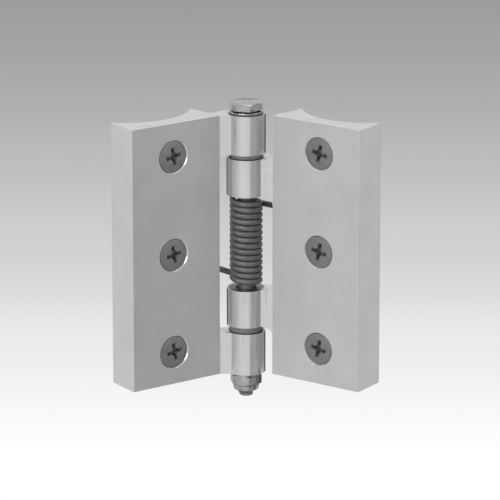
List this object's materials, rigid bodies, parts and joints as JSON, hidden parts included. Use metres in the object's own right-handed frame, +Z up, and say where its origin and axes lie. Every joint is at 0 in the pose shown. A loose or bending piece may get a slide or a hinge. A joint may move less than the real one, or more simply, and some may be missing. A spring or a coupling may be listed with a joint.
{
  "type": "gate hinge",
  "caption": "Self-closing butt hinge with saddle-backed leaves for round posts, a through-bolt pin, bushed knuckles and a torsion spring.",
  "frame": {"origin": "middle of the post leaf's saddle, on the line of its screws, at mid height", "axes": "+Z up along the post and the pin, +Y from the leaf into the post, +X along the leaf's face towards the pin"},
  "size_m": [0.0868, 0.0741, 0.1142],
  "materials": {
    "leaf_aluminium": "mill-finish extrusion, sawn ends",
    "bolt_steel": "zinc-plated steel, slightly worn",
    "screw_steel": "dull plated steel",
    "spring_steel": "oiled dark spring wire",
    "grey_nylon": "moulded grey nylon",
    "pale_nylon": "moulded nylon ring"
  },
  "bodies": {
    "post_side": {"post_leaf": "leaf_aluminium", "hinge_bolt": "bolt_steel", "head_washer": "bolt_steel", "nut_washer": "bolt_steel", "top_bushing": "grey_nylon", "bottom_bushing": "grey_nylon", "upper_thrust_washer": "grey_nylon", "lower_thrust_washer": "grey_nylon", "lock_nut": "bolt_steel", "nut_insert": "pale_nylon", "torsion_spring": "spring_steel", "post_screw_top": "screw_steel", "post_screw_middle": "screw_steel", "post_screw_bottom": "screw_steel"},
    "gate_side": {"gate_leaf": "leaf_aluminium", "upper_gate_bushing": "grey_nylon", "lower_gate_bushing": "grey_nylon", "gate_screw_top": "screw_steel", "gate_screw_middle": "screw_steel", "gate_screw_bottom": "screw_steel"}
  },
  "joints": [
    {"name": "gate_swing", "type": "hinge", "parent": "post_side", "child": "gate_side", "pos_m": [0.03175, -0.00875, 0], "axis": [0, 0, 1], "range_deg": [-105, 90], "stiffness_Nm_per_rad": 0.27, "deforming": ["torsion_spring"]}
  ]
}
